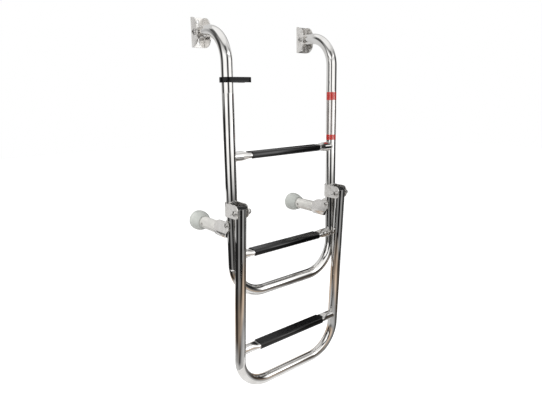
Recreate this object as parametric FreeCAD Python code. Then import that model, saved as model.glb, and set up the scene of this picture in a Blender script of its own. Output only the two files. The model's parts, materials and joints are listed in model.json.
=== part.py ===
import FreeCAD, Part
import math
import os
from FreeCAD import Vector

# A folding boarding ladder that hangs on a boat's side or transom.
# Millimetres. The hull is the plane Y = 0 with the water side at -Y, and +Z is up. The origin is on
# the back face of the left wall bracket, at the height of its bolt. X runs to the right bracket.

# Rails: two bent tubes, the upper one hooked over to the hull, the lower one hinged to it
tube_d = 25.0
tube_wall = 1.5
rail_spacing = 306.0
stringer_back = 112.0
upper_drop = 590.5
top_bend_r = 70.0
upper_bow_r = 80.0
lower_reach = 443.0
lower_bow_r = 80.0

# Hinge between the two rails
hinge_drop = 382.0
hinge_offset = 34.0
leg_above_hinge = 10.0
hinge_sheet = 2.6
hinge_above = 18.0
hinge_below = 13.5
hinge_front = 10.0
hinge_corner_r = 12.0
pivot_bolt_d = 8.0
steepest_lean = 15.0
lean_halvings = 40

# Treads, each a round tube pressed flat in the middle under a snap-on cover
tread_1_drop = 265.0
tread_2_drop = 491.0
tread_3_reach = 340.0
tread_d = 22.0
tread_wall = 1.2
tread_flat_h = 12.0
tread_round_end = 27.0
tread_flat_start = 47.0
cover_inset = 51.5
cover_wall = 1.4
cover_edge_r = 5.0
cover_gap_below = 17.0
rib_count = 7
rib_w = 1.6
rib_h = 0.4

# Wall brackets, folded from sheet, and their bolts
bracket_sheet = 3.0
bracket_inner_w = 30.0
bracket_h = 63.0
bracket_depth = 26.5
bracket_corner_r = 21.0
bracket_bend_r = 1.5
wall_bolt_back = 17.0
wall_bolt_d = 8.0
tube_past_bolt = 3.5
screw_hole_d = 6.5
screw_spacing = 46.0
wall_washer_d = 18.0

# Standoffs that hold the stringers off the hull
standoff_d = 28.6
standoff_wall = 1.5
standoff_bolt_drop = 33.0
standoff_drop = 53.0
standoff_bolt_d = 6.0
standoff_start = 27.0
standoff_end = 152.0
fork_sheet = 2.5
fork_nose_r = 8.5
fork_back = 54.0
fork_heel = 20.0
fork_top_r = 30.0
fork_corner_r = 2.0
pad_front = 5.0
pad_below_bolt = 5.0
pad_slope = 30.0
foot_d = 48.5
foot_collar_d = 35.0
foot_front = 122.0
foot_rim = 146.0
foot_back = 160.0
foot_edge_r = 6.0
foot_bulge = 1.5
foot_screw_d = 6.0
foot_screw_at = 112.0
foot_screw_proud = 0.8
foot_screw_past_wall = 2.0

# End caps of the lower rail
cap_dome = 5.0
cap_rim = 1.2
cap_plug = 4.5

# Clip on the left stringer that holds the folded lower rail
clip_drop = 104.0
clip_h = 11.0
clip_reach = 41.5
clip_wall = 4.0
clip_arm_w = 33.0
clip_mouth = 20.0

# Bolt heads and nuts
head_d = 13.0
head_h = 4.0
nut_d = 15.0
nut_h = 11.0
nut_hex_h = 6.0
small_head_d = 11.0
small_head_h = 3.2
small_nut_d = 12.0
small_nut_h = 9.0
small_nut_hex_h = 5.0
nut_crown_thick = 3.0
nut_shoulder = 0.3
nut_crown_bulge = 1.05
shank_end_gap = 1.0

# Clearances
running_gap = 0.05
side_gap = 0.3
rest_gap = 0.35

quarter_turn = 90
tube_r = tube_d / 2
stringer_y = -stringer_back
hinge_y = stringer_y - hinge_offset
right_x = rail_spacing
sides = {"left": 0.0, "right": right_x}

os.makedirs("parts", exist_ok=True)


def write(name, shape):
    shape.exportStep("parts/" + name + ".step")


def moved(shape, x=0.0, y=0.0, z=0.0):
    copy = shape.copy()
    copy.translate(Vector(x, y, z))
    return copy


def rod(start, direction, radius, length):
    return Part.makeCylinder(radius, length, start, direction)


def rod_through(centre, radius, half_length):
    start = centre - Vector(half_length, 0, 0)
    return rod(start, Vector(1, 0, 0), radius, 2 * half_length)


def bent_path(corners, bend_radii):
    edges = []
    start = corners[0]
    for before, corner, after, radius in zip(corners, corners[1:], corners[2:], bend_radii):
        to_before = (before - corner).normalize()
        to_after = (after - corner).normalize()
        half_angle = to_before.getAngle(to_after) / 2
        setback = radius / math.tan(half_angle)
        bisector = (to_before + to_after).normalize()
        centre = corner + bisector * (radius / math.sin(half_angle))
        arc_start = corner + to_before * setback
        arc_end = corner + to_after * setback
        edges.append(Part.LineSegment(start, arc_start).toShape())
        edges.append(Part.Arc(arc_start, centre - bisector * radius, arc_end).toShape())
        start = arc_end
    edges.append(Part.LineSegment(start, corners[-1]).toShape())
    return Part.Wire(edges)


def swept_rod(corners, bend_radii, radius):
    ring = Part.Wire(Part.makeCircle(radius, corners[0], corners[1] - corners[0]))
    return bent_path(corners, bend_radii).makePipeShell([ring], True, False)


def bent_tube(corners, bend_radii):
    outer = swept_rod(corners, bend_radii, tube_r)
    inner = swept_rod(corners, bend_radii, tube_r - tube_wall)
    return outer.cut(inner)


def rounded_face(points, radii):
    # A closed outline with a rounded corner at each point, given in order round the outline
    count = len(points)
    corners = []
    for index, (point, radius) in enumerate(zip(points, radii)):
        to_before = (points[index - 1] - point).normalize()
        to_after = (points[(index + 1) % count] - point).normalize()
        half_angle = to_before.getAngle(to_after) / 2
        setback = radius / math.tan(half_angle)
        bisector = (to_before + to_after).normalize()
        middle = point + bisector * (radius / math.sin(half_angle) - radius)
        corners.append((point + to_before * setback, middle, point + to_after * setback))
    edges = []
    for index, (arc_start, middle, arc_end) in enumerate(corners):
        if radii[index] > 0:
            edges.append(Part.Arc(arc_start, middle, arc_end).toShape())
        next_start = corners[(index + 1) % count][0]
        edges.append(Part.LineSegment(arc_end, next_start).toShape())
    return Part.Face(Part.Wire(edges))


def side_plate(points, radii, x_from, x_to):
    # An outline in Y and Z, given as pairs, drawn out along X
    face = rounded_face([Vector(x_from, y, z) for y, z in points], radii)
    return face.extrude(Vector(x_to - x_from, 0, 0))


def button_head(across, rise):
    # A domed head whose flat seat is at the origin and whose crown points to -X
    sphere_r = (across * across / 4 + rise * rise) / (2 * rise)
    seat = Vector(0, 0, 0)
    ball = Part.makeSphere(sphere_r, Vector(sphere_r - rise, 0, 0))
    return ball.common(rod(seat, Vector(-1, 0, 0), across / 2, rise))


def bolt(bolt_d, across, rise, length):
    # A bolt along X whose head seats at the origin and whose shank runs to +X
    shank = rod(Vector(0, 0, 0), Vector(1, 0, 0), bolt_d / 2, length)
    return button_head(across, rise).fuse(shank).removeSplitter()


def dome_nut(bolt_d, across, hex_h, height, bore):
    # A closed nut along X that seats at the origin, six-sided below its dome
    corner_r = across / 2
    turns = [math.radians(60 * index) for index in range(7)]
    points = [Vector(0, corner_r * math.cos(turn), corner_r * math.sin(turn)) for turn in turns]
    body = Part.Face(Part.makePolygon(points)).extrude(Vector(hex_h, 0, 0))
    dome_r = corner_r * math.cos(math.radians(30)) - nut_shoulder
    crown = rod(Vector(hex_h, 0, 0), Vector(1, 0, 0), dome_r, height - hex_h)
    ball_r = dome_r * nut_crown_bulge
    ball = Part.makeSphere(ball_r, Vector(height - ball_r, 0, 0))
    nut = body.fuse(crown.common(ball)).removeSplitter()
    return nut.cut(rod(Vector(0, 0, 0), Vector(1, 0, 0), bolt_d / 2, bore))


def closest_gap(lean):
    # The gap between a leg that leans by this angle and the corner of the upper bow
    gaps = []
    straight = upper_drop - upper_bow_r - hinge_drop
    for degrees in range(quarter_turn + 1):
        turn = math.radians(degrees)
        along = straight + upper_bow_r * math.sin(turn)
        inward = upper_bow_r * (1 - math.cos(turn))
        forward = hinge_offset * math.cos(lean) - along * math.sin(lean)
        gaps.append(math.hypot(inward, forward) - tube_d)
    return min(gaps)


def resting_lean():
    # The legs hang until they rest on the upper bow, so the lean comes from the other sizes
    low = 0.0
    high = math.radians(steepest_lean)
    for _ in range(lean_halvings):
        middle = (low + high) / 2
        if closest_gap(middle) > rest_gap:
            low = middle
        else:
            high = middle
    return math.degrees(low)


lean = resting_lean()


def in_lower_frame(shape):
    # From the lower rail's own frame, with the hinge as its origin, to where it hangs
    copy = shape.copy()
    copy.rotate(Vector(0, 0, 0), Vector(1, 0, 0), lean)
    copy.translate(Vector(0, hinge_y, -hinge_drop))
    return copy


def make_upper_rail():
    end_y = -wall_bolt_back + tube_past_bolt
    corners = [
        Vector(0, end_y, 0),
        Vector(0, stringer_y, 0),
        Vector(0, stringer_y, -upper_drop),
        Vector(right_x, stringer_y, -upper_drop),
        Vector(right_x, stringer_y, 0),
        Vector(right_x, end_y, 0),
    ]
    rail = bent_tube(corners, [top_bend_r, upper_bow_r, upper_bow_r, top_bend_r])
    for x in sides.values():
        end_disc = rod(Vector(x, end_y, 0), Vector(0, -1, 0), tube_r - tube_wall, tube_wall)
        rail = rail.fuse(end_disc)
        wall_hole = Vector(x, -wall_bolt_back, 0)
        rail = rail.cut(rod_through(wall_hole, wall_bolt_d / 2 + running_gap, tube_d))
        fork_hole = Vector(x, stringer_y, -hinge_drop - standoff_bolt_drop)
        rail = rail.cut(rod_through(fork_hole, standoff_bolt_d / 2, tube_d))
    return rail.removeSplitter()


def make_lower_rail():
    corners = [
        Vector(0, 0, leg_above_hinge),
        Vector(0, 0, -lower_reach),
        Vector(right_x, 0, -lower_reach),
        Vector(right_x, 0, leg_above_hinge),
    ]
    rail = bent_tube(corners, [lower_bow_r, lower_bow_r])
    for x in sides.values():
        rail = rail.cut(rod_through(Vector(x, 0, 0), pivot_bolt_d / 2 + running_gap, tube_d))
    return in_lower_frame(rail)


def make_cap(x):
    plug_r = tube_r - tube_wall
    plug = rod(Vector(x, 0, leg_above_hinge - cap_plug), Vector(0, 0, 1), plug_r, cap_plug)
    rim = rod(Vector(x, 0, leg_above_hinge), Vector(0, 0, 1), tube_r, cap_rim)
    crown_h = cap_dome - cap_rim
    ball_r = (tube_r * tube_r + crown_h * crown_h) / (2 * crown_h)
    top = Vector(x, 0, leg_above_hinge + cap_dome - ball_r)
    crown = rod(Vector(x, 0, leg_above_hinge + cap_rim), Vector(0, 0, 1), tube_r, crown_h)
    dome = crown.common(Part.makeSphere(ball_r, top))
    return in_lower_frame(plug.fuse(rim).fuse(dome).removeSplitter())


def tread_section(x, flatness, inset):
    # A section of the tread tube: round at flatness 0, pressed flat at 1, same girth all along
    outer_r = tread_d / 2
    half_h = outer_r + (tread_flat_h / 2 - outer_r) * flatness
    half_w = half_h + math.pi * (outer_r - half_h) / 2
    shoulder_y = outer_r * math.cos(math.radians(45)) * (1 - flatness)
    shoulder_y += (half_w - half_h) * flatness
    shoulder_z = outer_r * math.sin(math.radians(45)) * (1 - flatness) + half_h * flatness
    scale_y = (half_w - inset) / half_w
    scale_z = (half_h - inset) / half_h
    y = shoulder_y * scale_y
    z = shoulder_z * scale_z
    top = Vector(x, 0, half_h * scale_z)
    front = Vector(x, -half_w * scale_y, 0)
    front_top = Vector(x, -y, z)
    back_top = Vector(x, y, z)
    back_low = Vector(x, y, -z)
    front_low = Vector(x, -y, -z)
    if flatness < 1:
        upper = Part.Arc(front_top, top, back_top).toShape()
        lower = Part.Arc(back_low, -top + Vector(2 * x, 0, 0), front_low).toShape()
    else:
        upper = Part.LineSegment(front_top, back_top).toShape()
        lower = Part.LineSegment(back_low, front_low).toShape()
    back = Part.Arc(back_top, Vector(x, -front.y, 0), back_low).toShape()
    nose = Part.Arc(front_low, front, front_top).toShape()
    return Part.Wire([upper, back, lower, nose])


def tread_rod(inset):
    # One solid from stringer axis to stringer axis, along X at Y = Z = 0
    steps = [0.0, 0.1, 0.5, 0.9, 1.0]
    length = tread_flat_start - tread_round_end
    places = [tread_round_end + length * step / (len(steps) - 1) for step in range(len(steps))]
    neck = [tread_section(x, flat, inset) for x, flat in zip(places, steps)]
    left_neck = Part.makeLoft(neck, True, False)
    right_neck = left_neck.mirror(Vector(right_x / 2, 0, 0), Vector(1, 0, 0))
    end_r = tread_d / 2 - inset
    left_end = rod(Vector(0, 0, 0), Vector(1, 0, 0), end_r, tread_round_end)
    right_end = moved(left_end, x=right_x - tread_round_end)
    flat = Part.Face(tread_section(tread_flat_start, 1, inset))
    middle = flat.extrude(Vector(right_x - 2 * tread_flat_start, 0, 0))
    return left_end.fuse([left_neck, middle, right_neck, right_end]).removeSplitter()


def make_tread_tube():
    # The ends are coped to the stringers
    tube = tread_rod(0).cut(tread_rod(tread_wall))
    for x in sides.values():
        tube = tube.cut(rod(Vector(x, 0, -tread_d), Vector(0, 0, 1), tube_r, 2 * tread_d))
    return tube


def make_tread_cover():
    # A ribbed strip that wraps the flattened tube and leaves a gap below, so that it can snap on
    flat_half_w = tread_flat_h / 2 + math.pi * (tread_d - tread_flat_h) / 4
    half_w = flat_half_w + cover_wall
    rise = tread_flat_h / 2 + cover_wall
    outline = [(-half_w, -rise), (half_w, -rise), (half_w, rise), (-half_w, rise)]
    cover = side_plate(outline, [cover_edge_r] * 4, cover_inset, right_x - cover_inset)
    pitch = 2 * (half_w - cover_edge_r) / rib_count
    length = right_x - 2 * cover_inset
    for index in range(rib_count):
        y = (index - (rib_count - 1) / 2) * pitch - rib_w / 2
        rib = Part.makeBox(length, rib_w, cover_wall + rib_h, Vector(cover_inset, y, rise - cover_wall))
        cover = cover.fuse(rib)
    gap_corner = Vector(cover_inset, -cover_gap_below / 2, -rise)
    gap = Part.makeBox(length, cover_gap_below, rise, gap_corner)
    return cover.removeSplitter().cut([tread_rod(0), gap])


def make_hinge_bracket(x):
    # A strap bent round the back of the stringer, with a cheek on each side of the leg
    inner_r = tube_r + side_gap
    outer_r = inner_r + hinge_sheet
    bend_y = stringer_y - side_gap
    front_y = hinge_y - hinge_front
    low_z = -hinge_drop - hinge_below
    height = hinge_above + hinge_below
    up = Vector(0, 0, 1)
    strap = rod(Vector(x, bend_y, low_z), up, outer_r, height)
    block = Part.makeBox(2 * outer_r, bend_y - front_y, height, Vector(x - outer_r, front_y, low_z))
    strap = strap.fuse(block)
    strap = strap.cut(rod(Vector(x, bend_y, low_z), up, inner_r, height))
    slot = Part.makeBox(2 * inner_r, bend_y - front_y, height, Vector(x - inner_r, front_y, low_z))
    strap = strap.cut(slot)
    back_y = bend_y + outer_r
    points = [(front_y, low_z), (back_y, low_z), (back_y, low_z + height), (front_y, low_z + height)]
    outline = side_plate(points, [hinge_corner_r, 0, 0, hinge_corner_r], x - outer_r, x + outer_r)
    strap = strap.common(outline)
    hole = rod_through(Vector(x, hinge_y, -hinge_drop), pivot_bolt_d / 2, outer_r)
    return strap.cut(hole).removeSplitter()


def make_wall_bracket(x):
    # A channel: its back lies on the hull, its two rounded cheeks carry the bolt
    outer_w = bracket_inner_w + 2 * bracket_sheet
    points = [(x - outer_w / 2, 0), (x + outer_w / 2, 0)]
    points += [(x + outer_w / 2, -bracket_depth), (x - outer_w / 2, -bracket_depth)]
    bend = bracket_sheet + bracket_bend_r
    outer = rounded_face([Vector(px, py, -bracket_h / 2) for px, py in points], [bend, bend, 0, 0])
    half_in = bracket_inner_w / 2
    back_in = -bracket_sheet
    hollow = [(x - half_in, back_in), (x + half_in, back_in)]
    hollow += [(x + half_in, -bracket_depth), (x - half_in, -bracket_depth)]
    inner_points = [Vector(px, py, -bracket_h / 2) for px, py in hollow]
    inner = rounded_face(inner_points, [bracket_bend_r, bracket_bend_r, 0, 0])
    height = Vector(0, 0, bracket_h)
    channel = outer.extrude(height).cut(inner.extrude(height))
    half_h = bracket_h / 2
    side = [(0, -half_h), (0, half_h), (-bracket_depth, half_h), (-bracket_depth, -half_h)]
    radii = [0, 0, bracket_corner_r, bracket_corner_r]
    channel = channel.common(side_plate(side, radii, x - outer_w / 2, x + outer_w / 2))
    bolt_at = Vector(x, -wall_bolt_back, 0)
    channel = channel.cut(rod_through(bolt_at, wall_bolt_d / 2, outer_w))
    for z in (-screw_spacing / 2, screw_spacing / 2):
        hole = rod(Vector(x, 0, z), Vector(0, -1, 0), screw_hole_d / 2, bracket_sheet)
        channel = channel.cut(hole)
    return channel.removeSplitter()


def make_wall_washer(x, towards):
    # Fills the space between a cheek and the tube, on the side that towards (-1 or 1) names
    thickness = bracket_inner_w / 2 - tube_r - side_gap
    cheek = Vector(x + towards * bracket_inner_w / 2, -wall_bolt_back, 0)
    inwards = Vector(-towards, 0, 0)
    disc = rod(cheek, inwards, wall_washer_d / 2, thickness)
    return disc.cut(rod(cheek, inwards, wall_bolt_d / 2, thickness))


def make_standoff_tube(x):
    start = Vector(x, stringer_y + standoff_start, -hinge_drop - standoff_drop)
    length = standoff_end - standoff_start
    back = Vector(0, 1, 0)
    tube = rod(start, back, standoff_d / 2, length)
    tube = tube.cut(rod(start, back, standoff_d / 2 - standoff_wall, length))
    hole = Vector(x - standoff_d, stringer_y + foot_screw_at, -hinge_drop - standoff_drop)
    return tube.cut(rod(hole, Vector(1, 0, 0), foot_screw_d / 2, standoff_d))


def fork_hollow(x, y_from, y_to):
    # The space between the fork's ears, round below to fit the standoff tube
    inner_r = standoff_d / 2
    axis_z = -hinge_drop - standoff_drop
    start = Vector(x, stringer_y + y_from, axis_z)
    round_part = rod(start, Vector(0, 1, 0), inner_r, y_to - y_from)
    above = Vector(x - inner_r, stringer_y + y_from, axis_z)
    box = Part.makeBox(2 * inner_r, y_to - y_from, standoff_drop, above)
    return round_part.fuse(box).removeSplitter()


def make_fork(x):
    # A cradle under the front of the standoff tube whose two ears reach forward to the bolt
    outer_r = standoff_d / 2 + fork_sheet
    axis_z = -hinge_drop - standoff_drop
    bolt_z = -hinge_drop - standoff_bolt_drop
    top_z = bolt_z + fork_nose_r
    low_z = axis_z - outer_r
    nose_y = stringer_y - fork_nose_r
    back_y = stringer_y + fork_back
    heel_y = stringer_y + fork_heel
    points = [(nose_y, top_z), (back_y, top_z), (back_y, low_z), (heel_y, low_z)]
    points.append((nose_y, bolt_z - fork_nose_r))
    radii = [fork_nose_r, fork_top_r, fork_corner_r, fork_corner_r, fork_nose_r]
    outline = side_plate(points, radii, x - outer_r, x + outer_r)
    length = fork_back + fork_nose_r
    start = Vector(x, nose_y, axis_z)
    skin = rod(start, Vector(0, 1, 0), outer_r, length)
    walls = Part.makeBox(2 * outer_r, length, standoff_drop, Vector(x - outer_r, nose_y, axis_z))
    fork = skin.fuse(walls).common(outline)
    fork = fork.cut(fork_hollow(x, -2 * fork_nose_r, 2 * fork_back))
    hole = rod_through(Vector(x, stringer_y, bolt_z), standoff_bolt_d / 2 + running_gap, outer_r)
    return fork.cut(hole).removeSplitter()


def make_pad(x):
    # The rubber heel between the tube's end and the stringer, hollowed to the stringer's shape
    bolt_z = -hinge_drop - standoff_bolt_drop
    low_z = -hinge_drop - standoff_drop - standoff_d / 2
    front_y = stringer_y + pad_front
    back_y = stringer_y + standoff_start
    top_back = bolt_z - pad_below_bolt
    top_front = top_back - (standoff_start - pad_front) * math.tan(math.radians(pad_slope))
    points = [(front_y, low_z), (back_y, low_z), (back_y, top_back), (front_y, top_front)]
    block = side_plate(points, [0, 0, 0, 0], x - standoff_d, x + standoff_d)
    pad = fork_hollow(x, pad_front, standoff_start).common(block)
    start = Vector(x, stringer_y, low_z - 1)
    stringer = rod(start, Vector(0, 0, 1), tube_r + side_gap, standoff_drop)
    return pad.cut(stringer).removeSplitter()


def make_foot(x):
    # A rubber bell turned about the standoff's axis
    half_collar = foot_collar_d / 2
    half_foot = foot_d / 2
    centre = Vector(x, stringer_y, -hinge_drop - standoff_drop)

    def at(y, radius):
        return centre + Vector(radius, y, 0)

    middle_y = (foot_front + foot_rim) / 2 - foot_bulge
    middle = at(middle_y, (half_collar + half_foot) / 2 + foot_bulge)
    rise = Part.Arc(at(foot_front, half_collar), middle, at(foot_rim, half_foot))
    back_corner = at(foot_back, half_foot - foot_edge_r)
    turn = math.cos(math.radians(45))
    corner_mid = at(foot_back - foot_edge_r * (1 - turn), half_foot - foot_edge_r * (1 - turn))
    edges = [
        Part.LineSegment(at(foot_front, 0), at(foot_front, half_collar)).toShape(),
        rise.toShape(),
        Part.LineSegment(at(foot_rim, half_foot), at(foot_back - foot_edge_r, half_foot)).toShape(),
        Part.Arc(at(foot_back - foot_edge_r, half_foot), corner_mid, back_corner).toShape(),
        Part.LineSegment(back_corner, at(foot_back, 0)).toShape(),
        Part.LineSegment(at(foot_back, 0), at(foot_front, 0)).toShape(),
    ]
    foot = Part.Face(Part.Wire(edges)).revolve(centre, Vector(0, 1, 0), 360)
    bore = rod(at(foot_front, 0), Vector(0, 1, 0), standoff_d / 2, standoff_end - foot_front)
    return foot.cut(bore)


def make_foot_screw(x):
    # A short button that pins the tube, on its outer side
    depth = standoff_wall + foot_screw_past_wall
    wall_x = x - math.sqrt(standoff_d ** 2 - foot_screw_d ** 2) / 2
    seat = Vector(wall_x - foot_screw_proud, 0, 0)
    button = rod(seat, Vector(1, 0, 0), foot_screw_d / 2, depth)
    return moved(button, y=stringer_y + foot_screw_at, z=-hinge_drop - standoff_drop)


def make_clip():
    # A ring that turns on the stringer, an arm, and an open jaw for the folded leg
    low_z = -clip_drop - clip_h / 2
    up = Vector(0, 0, 1)
    ring_in = tube_r + running_gap
    jaw_in = tube_r + side_gap
    ring_at = Vector(0, stringer_y, low_z)
    jaw_at = Vector(clip_reach, stringer_y, low_z)
    ring = rod(ring_at, up, ring_in + clip_wall, clip_h)
    jaw = rod(jaw_at, up, jaw_in + clip_wall, clip_h)
    arm_at = Vector(0, stringer_y - clip_arm_w / 2, low_z)
    arm = Part.makeBox(clip_reach, clip_arm_w, clip_h, arm_at)
    clip = ring.fuse([jaw, arm]).removeSplitter()
    mouth_at = Vector(clip_reach, stringer_y - clip_mouth / 2, low_z)
    mouth = Part.makeBox(jaw_in + clip_wall, clip_mouth, clip_h, mouth_at)
    return clip.cut([rod(ring_at, up, ring_in, clip_h), rod(jaw_at, up, jaw_in, clip_h), mouth])


def write_bolt_and_nut(name, x, y, z, half_grip, bolt_d, head, nut):
    # The head seats on the -X side of what it grips, the nut on the +X side
    across, rise = head
    nut_across, hex_h, height = nut
    nut_bore = height - nut_crown_thick
    shank = 2 * half_grip + nut_bore - shank_end_gap
    write(name + "_bolt", moved(bolt(bolt_d, across, rise, shank), x - half_grip, y, z))
    closed = dome_nut(bolt_d, nut_across, hex_h, height, nut_bore)
    write(name + "_nut", moved(closed, x + half_grip, y, z))


def main():
    write("upper_rail", make_upper_rail())
    write("lower_rail", make_lower_rail())
    write("hold_clip", make_clip())
    tread_tube = make_tread_tube()
    tread_cover = make_tread_cover()
    for name, drop in (("tread_1", tread_1_drop), ("tread_2", tread_2_drop)):
        write(name + "_tube", moved(tread_tube, y=stringer_y, z=-drop))
        write(name + "_cover", moved(tread_cover, y=stringer_y, z=-drop))
    write("tread_3_tube", in_lower_frame(moved(tread_tube, z=-tread_3_reach)))
    write("tread_3_cover", in_lower_frame(moved(tread_cover, z=-tread_3_reach)))

    big_head = (head_d, head_h)
    big_nut = (nut_d, nut_hex_h, nut_h)
    small_head = (small_head_d, small_head_h)
    small_nut = (small_nut_d, small_nut_hex_h, small_nut_h)
    hinge_half = tube_r + side_gap + hinge_sheet
    wall_half = bracket_inner_w / 2 + bracket_sheet
    fork_half = standoff_d / 2 + fork_sheet
    fork_z = -hinge_drop - standoff_bolt_drop
    for side, x in sides.items():
        write(side + "_wall_bracket", make_wall_bracket(x))
        write(side + "_wall_washer_near_head", make_wall_washer(x, -1))
        write(side + "_wall_washer_near_nut", make_wall_washer(x, 1))
        write_bolt_and_nut(side + "_wall", x, -wall_bolt_back, 0, wall_half, wall_bolt_d,
                           big_head, big_nut)
        write(side + "_hinge_bracket", make_hinge_bracket(x))
        write_bolt_and_nut(side + "_hinge", x, hinge_y, -hinge_drop, hinge_half, pivot_bolt_d,
                           big_head, big_nut)
        write(side + "_rail_cap", make_cap(x))
        write(side + "_standoff_tube", make_standoff_tube(x))
        write(side + "_standoff_fork", make_fork(x))
        write(side + "_standoff_pad", make_pad(x))
        write(side + "_foot", make_foot(x))
        write(side + "_foot_screw", make_foot_screw(x))
        write_bolt_and_nut(side + "_standoff", x, stringer_y, fork_z, fork_half,
                           standoff_bolt_d, small_head, small_nut)


main()
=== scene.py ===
import json
import math

import bmesh
import bpy
from mathutils import Matrix, Vector


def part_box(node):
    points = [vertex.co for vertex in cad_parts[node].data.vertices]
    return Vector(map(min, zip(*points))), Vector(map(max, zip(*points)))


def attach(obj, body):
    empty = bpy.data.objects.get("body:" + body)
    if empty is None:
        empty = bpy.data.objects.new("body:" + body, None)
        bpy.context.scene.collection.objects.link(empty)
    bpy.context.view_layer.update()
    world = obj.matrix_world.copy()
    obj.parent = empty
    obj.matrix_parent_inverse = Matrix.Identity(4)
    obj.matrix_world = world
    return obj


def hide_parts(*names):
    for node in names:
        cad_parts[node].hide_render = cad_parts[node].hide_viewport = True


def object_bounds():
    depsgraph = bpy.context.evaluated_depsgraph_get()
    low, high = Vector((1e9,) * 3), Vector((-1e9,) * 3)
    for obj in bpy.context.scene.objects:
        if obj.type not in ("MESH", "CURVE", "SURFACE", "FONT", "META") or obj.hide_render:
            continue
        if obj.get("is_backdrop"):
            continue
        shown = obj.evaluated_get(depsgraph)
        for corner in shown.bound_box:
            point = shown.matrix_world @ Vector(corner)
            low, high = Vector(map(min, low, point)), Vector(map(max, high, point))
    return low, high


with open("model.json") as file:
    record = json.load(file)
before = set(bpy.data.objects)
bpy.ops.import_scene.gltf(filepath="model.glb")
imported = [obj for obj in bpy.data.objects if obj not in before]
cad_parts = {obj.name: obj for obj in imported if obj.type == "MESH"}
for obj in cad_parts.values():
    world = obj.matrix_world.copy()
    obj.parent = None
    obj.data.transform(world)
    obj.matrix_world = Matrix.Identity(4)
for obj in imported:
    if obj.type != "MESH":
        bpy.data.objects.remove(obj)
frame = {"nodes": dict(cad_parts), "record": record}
cadBox = [list(corner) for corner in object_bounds()]
nodes = frame["nodes"]
sides = ("left", "right")
print("frame loaded:", len(nodes), "nodes")


# Small helpers that every stage uses

def addObject(name, data):
    made = bpy.data.objects.new(name, data)
    bpy.context.scene.collection.objects.link(made)
    return made


def directionOf(azimuth, elevation):
    # from the ladder towards a place at these angles
    a = math.radians(azimuth)
    e = math.radians(elevation)
    return Vector((math.sin(a) * math.cos(e), -math.cos(a) * math.cos(e), math.sin(e)))


def linear(hexColour):
    parts = [int(hexColour[i:i + 2], 16) / 255 for i in (1, 3, 5)]
    return [p / 12.92 if p <= 0.04045 else ((p + 0.055) / 1.055) ** 2.4 for p in parts] + [1.0]


def grey(value):
    return (value, value, value, 1.0)


def perMetre(millimetres):
    # texture scale for a pattern whose parts are this far apart
    return 1000 / millimetres


# Camera

cameraSettings = {
    "azimuth": -38.09,                      # degrees round the ladder, 0 looks straight at the hull
    "elevation": 12.77,
    "roll": -1.0,
    "place": (-0.54777, -0.95106, -0.13491),
    "lens": 30.96,
    "sensor": 36.0,
    "nearest": 0.05,
    "farthest": 60,
}


def makeCamera(s):
    back = directionOf(s["azimuth"], s["elevation"])
    right = Vector((0, 0, 1)).cross(back).normalized()
    up = back.cross(right)
    roll = math.radians(s["roll"])
    across = right * math.cos(roll) + up * math.sin(roll)
    above = up * math.cos(roll) - right * math.sin(roll)
    data = bpy.data.cameras.new("camera")
    data.lens = s["lens"]
    data.sensor_width = s["sensor"]
    data.clip_start = s["nearest"]
    data.clip_end = s["farthest"]
    camera = addObject("camera", data)
    aim = Matrix((across, above, back)).transposed().to_4x4()
    camera.matrix_world = Matrix.Translation(s["place"]) @ aim
    bpy.context.scene.camera = camera


makeCamera(cameraSettings)
bpy.context.scene.view_settings.view_transform = "Standard"
print("camera made")


# Materials. Each has two colours that drift into each other between two levels of a cloud, a
# roughness that rises between two levels of its grain, and a relief with its depth in metres

def addNode(tree, kind, settings=None, links=None):
    node = tree.nodes.new(kind)
    for key, value in (settings or {}).items():
        if key in node.inputs:
            node.inputs[key].default_value = value
        else:
            setattr(node, key, value)
    for key, source in (links or {}).items():
        tree.links.new(source, node.inputs[key])
    return node


def newMaterial(name, settings):
    material = bpy.data.materials.new(name)
    material.use_nodes = True
    tree = material.node_tree
    tree.nodes.clear()
    shader = addNode(tree, "ShaderNodeBsdfPrincipled", settings)
    addNode(tree, "ShaderNodeOutputMaterial", links={"Surface": shader.outputs["BSDF"]})
    return material, tree, shader


def driftColour(tree, shader, cloud, levels, colours):
    # the first colour below the first level of the cloud, the second above the second
    tint = addNode(tree, "ShaderNodeValToRGB", links={"Fac": cloud.outputs["Fac"]})
    for stop, level, colour in zip(tint.color_ramp.elements, levels, colours):
        stop.position = level
        stop.color = colour
    tree.links.new(tint.outputs["Color"], shader.inputs["Base Color"])


def dressSurface(tree, shader, cloud, grain, height, s):
    # the cloud drifts the colour, the grain varies the roughness, the height makes the relief
    driftColour(tree, shader, cloud, s["drift"], (linear(s["colour"]), linear(s["second"])))
    rough = addNode(tree, "ShaderNodeMapRange",
                    {"From Min": s["grain"][0], "From Max": s["grain"][1],
                     "To Min": s["roughness"][0], "To Max": s["roughness"][1]},
                    {"Value": grain.outputs["Fac"]})
    tree.links.new(rough.outputs["Result"], shader.inputs["Roughness"])
    bump = addNode(tree, "ShaderNodeBump", {"Strength": s["relief"], "Distance": s["deep"]},
                   {"Height": height.outputs["Fac"]})
    tree.links.new(bump.outputs["Normal"], shader.inputs["Normal"])


# 316 stainless tube, mirror-polished: sharp reflections, clean, a little wavy
polishedTube = {
    "colour": "#F1F0EE", "second": "#DFDDDA", "drift": (0.35, 0.7),
    "roughness": (0.03, 0.065), "grain": (0.3, 0.8),
    "relief": 0.05, "deep": 0.001,
    "smearMm": 38,
    "waveMm": 70,
    "lineMm": 2.5,                          # real polishing lines are finer, drawn coarser to show
}


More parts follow.
